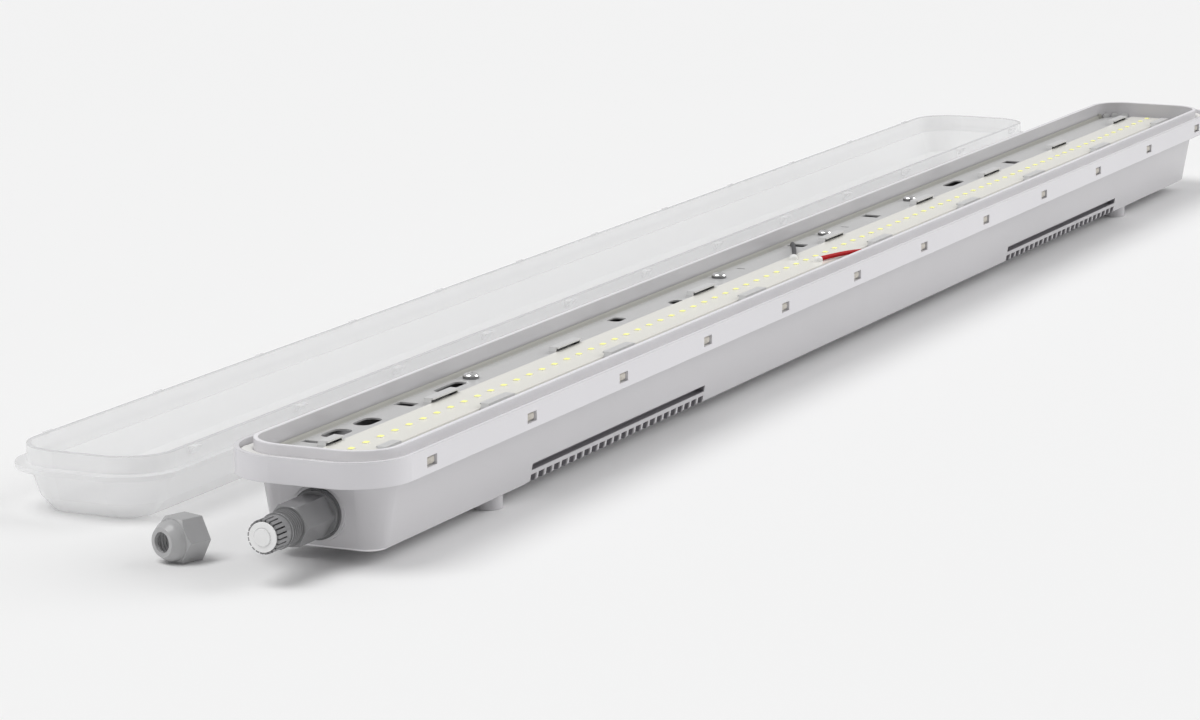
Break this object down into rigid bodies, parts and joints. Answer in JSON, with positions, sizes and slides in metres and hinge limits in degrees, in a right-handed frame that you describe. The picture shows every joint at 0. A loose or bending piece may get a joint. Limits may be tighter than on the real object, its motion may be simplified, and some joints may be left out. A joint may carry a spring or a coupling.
{
  "type": "led tri-proof light",
  "caption": "Long weatherproof LED batten light with its cover taken off: moulded trough housing, gear tray with LED board, gland at one end, cover and gland nut beside it.",
  "frame": {"origin": "middle of the four mounting feet on the back of the housing, on the plane that they stand on", "axes": "+X along the housing away from the cable gland, +Z out of the open front, +Y towards the cover that lies beside it"},
  "size_m": [1.2655, 0.2178, 0.0526],
  "materials": {
    "housing_plastic": "moulded grey plastic, satin",
    "gasket_foam": "foamed white rubber",
    "tray_paint": "white powder coat",
    "board_mask": "cream solder mask",
    "led_phosphor": "yellow phosphor gel",
    "screw_zinc": "bright zinc plate",
    "driver_case": "white moulded case",
    "strap_zinc": "zinc plated sheet",
    "terminal_white": "white moulded plastic",
    "wire_dark_sleeve": "dark sleeve",
    "wire_red_sleeve": "red sleeve",
    "block_white": "white moulded plastic",
    "wire_brown_sleeve": "brown sleeve",
    "wire_green_sleeve": "green and yellow sleeve",
    "wire_blue_sleeve": "blue sleeve",
    "gland_plastic": "grey moulded nylon",
    "washer_rubber": "dark rubber",
    "seal_rubber": "dark rubber",
    "plug_white": "white moulded plastic",
    "nut_plastic": "grey moulded nylon",
    "diffuser_milky": "milky translucent plastic, gloss outside"
  },
  "bodies": {
    "root": {"housing": "housing_plastic", "gasket": "gasket_foam", "gear_tray": "tray_paint", "led_board": "board_mask", "led_chips": "led_phosphor", "pan_screws": "screw_zinc", "led_driver": "driver_case", "driver_strap_near": "strap_zinc", "driver_strap_far": "strap_zinc", "board_terminal_dark": "terminal_white", "board_terminal_red": "terminal_white", "wire_dark": "wire_dark_sleeve", "wire_red": "wire_red_sleeve", "mains_block": "block_white", "wire_live": "wire_brown_sleeve", "wire_earth": "wire_green_sleeve", "wire_neutral": "wire_blue_sleeve", "gland_body": "gland_plastic", "gland_washer": "washer_rubber", "gland_locknut": "gland_plastic", "gland_seal": "seal_rubber", "blanking_plug": "plug_white", "dome_nut": "nut_plastic", "diffuser": "diffuser_milky"}
  },
  "joints": []
}
